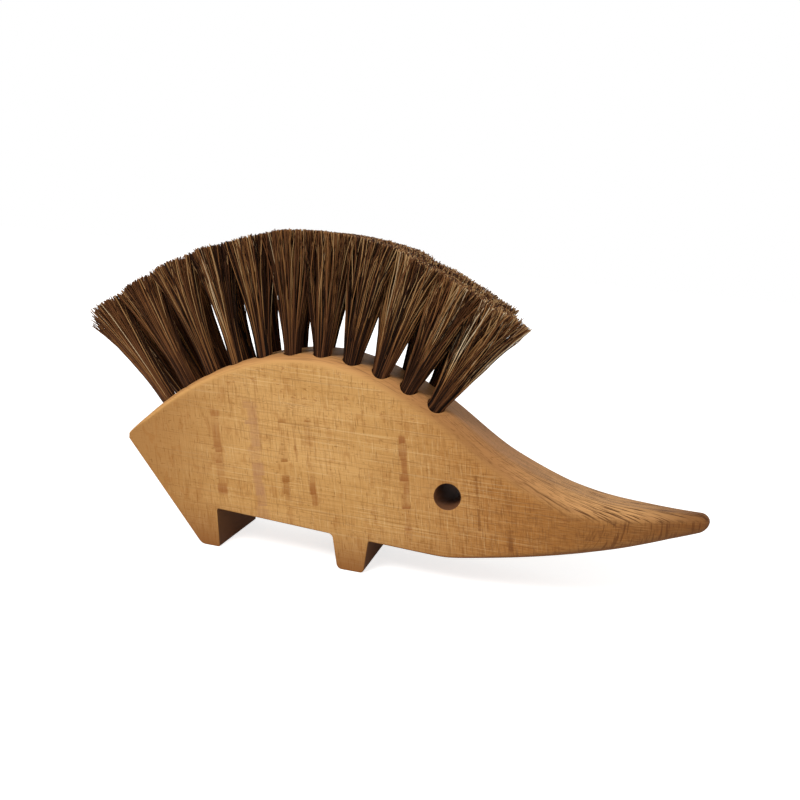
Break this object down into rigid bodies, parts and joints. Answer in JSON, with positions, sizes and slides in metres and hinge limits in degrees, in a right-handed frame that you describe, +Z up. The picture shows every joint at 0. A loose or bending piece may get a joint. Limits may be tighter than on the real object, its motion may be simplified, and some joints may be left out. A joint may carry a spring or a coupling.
{
  "type": "crumb brush",
  "caption": "Table brush for crumbs, a wooden block sawn as a hedgehog that stands on its feet, with stiff hair tufts fanned along its arched back.",
  "frame": {"origin": "on the table under the middle of the whole brush", "axes": "+X from the tail to the nose, +Y across the brush into its depth, +Z up"},
  "size_m": [0.1892, 0.0282, 0.0957],
  "materials": {
    "oiled_beech": "oiled, sanded smooth",
    "horsehair": "stiff natural hair",
    "anchor_steel": "flattened wire"
  },
  "bodies": {
    "root": {"body": "oiled_beech", "tuft_front_01": "horsehair", "tuft_front_02": "horsehair", "tuft_front_03": "horsehair", "tuft_front_04": "horsehair", "tuft_front_05": "horsehair", "tuft_front_06": "horsehair", "tuft_front_07": "horsehair", "tuft_front_08": "horsehair", "tuft_front_09": "horsehair", "tuft_front_10": "horsehair", "tuft_front_11": "horsehair", "tuft_back_01": "horsehair", "tuft_back_02": "horsehair", "tuft_back_03": "horsehair", "tuft_back_04": "horsehair", "tuft_back_05": "horsehair", "tuft_back_06": "horsehair", "tuft_back_07": "horsehair", "tuft_back_08": "horsehair", "tuft_back_09": "horsehair", "tuft_back_10": "horsehair", "tuft_back_11": "horsehair", "anchor_front_01": "anchor_steel", "anchor_front_02": "anchor_steel", "anchor_front_03": "anchor_steel", "anchor_front_04": "anchor_steel", "anchor_front_05": "anchor_steel", "anchor_front_06": "anchor_steel", "anchor_front_07": "anchor_steel", "anchor_front_08": "anchor_steel", "anchor_front_09": "anchor_steel", "anchor_front_10": "anchor_steel", "anchor_front_11": "anchor_steel", "anchor_back_01": "anchor_steel", "anchor_back_02": "anchor_steel", "anchor_back_03": "anchor_steel", "anchor_back_04": "anchor_steel", "anchor_back_05": "anchor_steel", "anchor_back_06": "anchor_steel", "anchor_back_07": "anchor_steel", "anchor_back_08": "anchor_steel", "anchor_back_09": "anchor_steel", "anchor_back_10": "anchor_steel", "anchor_back_11": "anchor_steel"}
  },
  "joints": []
}
